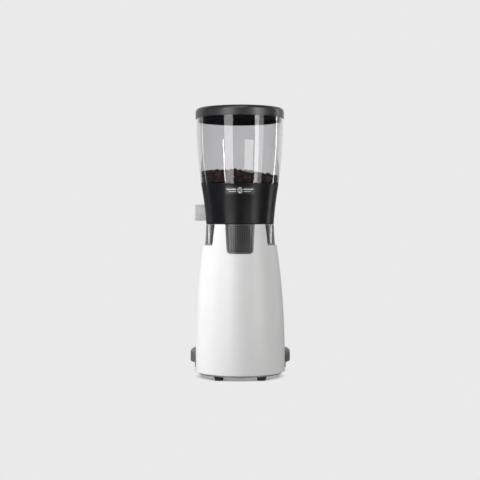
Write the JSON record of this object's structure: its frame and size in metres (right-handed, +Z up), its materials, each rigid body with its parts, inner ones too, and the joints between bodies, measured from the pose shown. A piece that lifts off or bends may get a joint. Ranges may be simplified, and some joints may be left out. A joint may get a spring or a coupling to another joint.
{
  "type": "burr coffee grinder",
  "caption": "Tall burr coffee grinder: clear bean hopper, grind-setting knob, motor and flat burrs in a round tower, chute, portafilter fork and grounds tray.",
  "frame": {"origin": "on the resting surface, under the middle of the machine's outer box", "axes": "+Z up; +Y towards the operator, who faces the fork and the tray; -Y is the rear with the air grille; +X is on the left hand of the operator, opposite the grind knob"},
  "size_m": [0.24, 0.341, 0.62],
  "materials": {
    "white_paint": "semi-gloss white powder coat",
    "black_satin": "satin black with a fine grain",
    "badge_plate": "pale printed relief",
    "clear_hopper": "clear moulded plastic, polished",
    "roasted_beans": "dark roasted, slightly oily",
    "black_grille": "black powder coat on perforated sheet",
    "cast_aluminium": "sand-cast and blasted",
    "knurled_aluminium": "turned and knurled, clear anodised",
    "machined_steel": "ground",
    "steel_screws": "zinc plated",
    "fork_steel": "brushed",
    "laminated_steel": "stacked sheet, oiled",
    "copper_winding": "enamelled copper wire",
    "bronze": "machined bronze",
    "black_plastic": "moulded black",
    "tray_plastic": "dark grey moulding",
    "black_rubber": "moulded rubber",
    "capacitor_plastic": "off-white can",
    "circuit_board": "green solder mask",
    "display_glass": "smoked window",
    "button_plastic": "light grey moulding"
  },
  "bodies": {
    "grinder_body": {"base_plate": "cast_aluminium", "cable_gland": "black_rubber", "capacitor_cup": "black_rubber", "casing": "white_paint", "chamber_bolts": "steel_screws", "collar_badge": "badge_plate", "control_board": "circuit_board", "control_panel": "black_satin", "display_window": "display_glass", "dose_microswitch": "black_plastic", "dosing_chute": "black_plastic", "foot_front_left": "black_rubber", "foot_front_right": "black_rubber", "foot_rear_left": "black_rubber", "foot_rear_right": "black_rubber", "foot_screws": "steel_screws", "fork_screws": "steel_screws", "front_cover": "white_paint", "grind_chamber": "cast_aluminium", "hopper_seat": "black_plastic", "lower_bearing": "machined_steel", "motor_lower_shield": "cast_aluminium", "motor_posts": "machined_steel", "motor_tie_bolts": "steel_screws", "motor_upper_shield": "cast_aluminium", "portafilter_fork": "fork_steel", "power_board": "circuit_board", "preload_springs": "machined_steel", "rear_grille": "black_grille", "ring_retainer": "machined_steel", "run_capacitor": "capacitor_plastic", "seat_pillars": "machined_steel", "stator_core": "laminated_steel", "stator_windings": "copper_winding", "switch_bezel": "black_satin", "top_collar": "black_satin", "upper_bearing": "machined_steel", "worm_bracket": "machined_steel", "worm_bracket_screws": "steel_screws"},
    "rotor": {"motor_shaft": "machined_steel", "rotor_core": "laminated_steel", "cooling_fan": "black_plastic", "lower_burr_carrier": "cast_aluminium", "lower_burr": "machined_steel", "lower_burr_screws": "steel_screws"},
    "adjuster_knob": {"grind_knob": "knurled_aluminium", "worm_shaft": "machined_steel"},
    "adjuster_ring": {"adjusting_ring": "bronze"},
    "burr_carrier": {"upper_burr_carrier": "cast_aluminium", "upper_burr": "machined_steel", "upper_burr_screws": "steel_screws"},
    "bean_hopper": {"hopper": "clear_hopper", "coffee_beans": "roasted_beans"},
    "hopper_lid": {"lid": "black_satin"},
    "bean_gate": {"hopper_gate": "black_plastic"},
    "tray": {"grounds_tray": "tray_plastic"},
    "single_button": {"single_dose_button": "button_plastic"},
    "double_button": {"double_dose_button": "button_plastic"},
    "plunger": {"dose_plunger": "black_plastic"},
    "power_switch": {"power_rocker": "black_plastic"}
  },
  "joints": [
    {"name": "rotor_spin", "type": "hinge", "parent": "grinder_body", "child": "rotor", "pos_m": [0, -0.0675, 0.2], "axis": [0, 0, 1], "continuous": true},
    {"name": "knob_turn", "type": "hinge", "parent": "grinder_body", "child": "adjuster_knob", "pos_m": [-0.07, -0.0075, 0.3795], "axis": [1, 0, 0], "range_deg": [-2160, 720]},
    {"name": "ring_turn", "type": "hinge", "parent": "grinder_body", "child": "adjuster_ring", "pos_m": [0, -0.0675, 0.3795], "axis": [0, 0, 1], "range_deg": [-27, 9]},
    {"name": "burr_travel", "type": "slide", "parent": "grinder_body", "child": "burr_carrier", "axis": [0, 0, 1], "range_m": [-0.00005, 0.00015], "deforming": ["preload_springs"]},
    {"name": "hopper_lift", "type": "slide", "parent": "grinder_body", "child": "bean_hopper", "axis": [0, 0, 1], "range_m": [0, 0.08]},
    {"name": "lid_lift", "type": "slide", "parent": "bean_hopper", "child": "hopper_lid", "axis": [0, 0, 1], "range_m": [0, 0.06]},
    {"name": "gate_slide", "type": "slide", "parent": "grinder_body", "child": "bean_gate", "axis": [0, 1, 0], "range_m": [0, 0.07]},
    {"name": "tray_slide", "type": "slide", "parent": "grinder_body", "child": "tray", "axis": [0, 1, 0], "range_m": [0, 0.12]},
    {"name": "single_button_press", "type": "slide", "parent": "grinder_body", "child": "single_button", "axis": [0, -1, 0], "range_m": [0, 0.0015], "stiffness_N_per_m": 800},
    {"name": "double_button_press", "type": "slide", "parent": "grinder_body", "child": "double_button", "axis": [0, -1, 0], "range_m": [0, 0.0015], "stiffness_N_per_m": 800},
    {"name": "plunger_press", "type": "slide", "parent": "grinder_body", "child": "plunger", "axis": [0, -1, 0], "range_m": [0, 0.004], "stiffness_N_per_m": 600},
    {"name": "power_rock", "type": "hinge", "parent": "grinder_body", "child": "power_switch", "pos_m": [0, 0.0315, 0.095], "axis": [1, 0, 0], "range_deg": [-16, 0]}
  ],
  "couplings": [
    {"joint": "knob_turn", "follows": "ring_turn", "ratio": 80},
    {"joint": "burr_travel", "follows": "ring_turn", "m_per_rad": -0.00031831}
  ]
}
